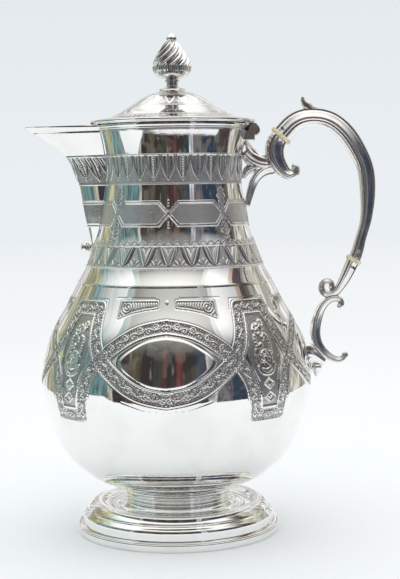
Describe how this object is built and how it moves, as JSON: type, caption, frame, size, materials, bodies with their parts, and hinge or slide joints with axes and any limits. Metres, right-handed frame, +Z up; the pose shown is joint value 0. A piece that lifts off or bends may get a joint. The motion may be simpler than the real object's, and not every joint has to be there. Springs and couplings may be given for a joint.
{
  "type": "silver water pitcher",
  "caption": "Footed silver water pitcher with an engraved pear-shaped body, beak spout, hinged domed lid with a fluted finial, and a scrolled handle with ivory-coloured insulators.",
  "frame": {"origin": "centre of the base wire's flat underside, on the plane the jug stands on", "axes": "+Z up along the vessel's axis, -X towards the spout, +X towards the handle, so the XZ plane is the plane of symmetry"},
  "size_m": [0.2238, 0.174, 0.32],
  "materials": {
    "silver_bright": "polished",
    "silver_chased": "gloss",
    "silver_wire": "polished",
    "silver_cast": "gloss",
    "silver_finial": "polished",
    "silver_hinge": "polished",
    "silver_screw": "satin",
    "ivory": "satin"
  },
  "bodies": {
    "jug": {"base_wire": "silver_wire", "foot": "silver_bright", "foot_stem": "silver_bright", "body": "silver_bright", "neck": "silver_bright", "rim_moulding": "silver_wire", "spout": "silver_bright", "spout_drop": "silver_wire", "upper_leaf_band": "silver_chased", "strap_band": "silver_chased", "lower_leaf_band": "silver_chased", "hinge_bracket": "silver_hinge", "hinge_pin": "silver_hinge", "upper_bracket": "silver_cast", "upper_scroll": "silver_cast", "upper_insulator": "ivory", "handle_tube": "silver_cast", "thumb_leaf": "silver_cast", "lower_insulator": "ivory", "lower_scroll": "silver_cast", "c_scroll": "silver_cast", "lower_mount": "silver_cast", "escutcheon": "silver_wire", "upper_rivets": "silver_hinge", "lower_rivets": "silver_hinge"},
    "lid": {"lid_dome": "silver_bright", "lid_edge": "silver_wire", "lid_bezel": "silver_wire", "lid_hinge_leaf": "silver_hinge", "finial_base": "silver_finial", "finial_calyx": "silver_finial", "finial_flame": "silver_finial", "finial_tip": "silver_finial", "finial_stud": "silver_screw", "finial_washer": "silver_screw", "finial_nut": "silver_screw"}
  },
  "joints": [
    {"name": "lid_hinge", "type": "hinge", "parent": "jug", "child": "lid", "pos_m": [0.0523, 0, 0.2576], "axis": [0, 1, 0], "range_deg": [0, 105]}
  ]
}
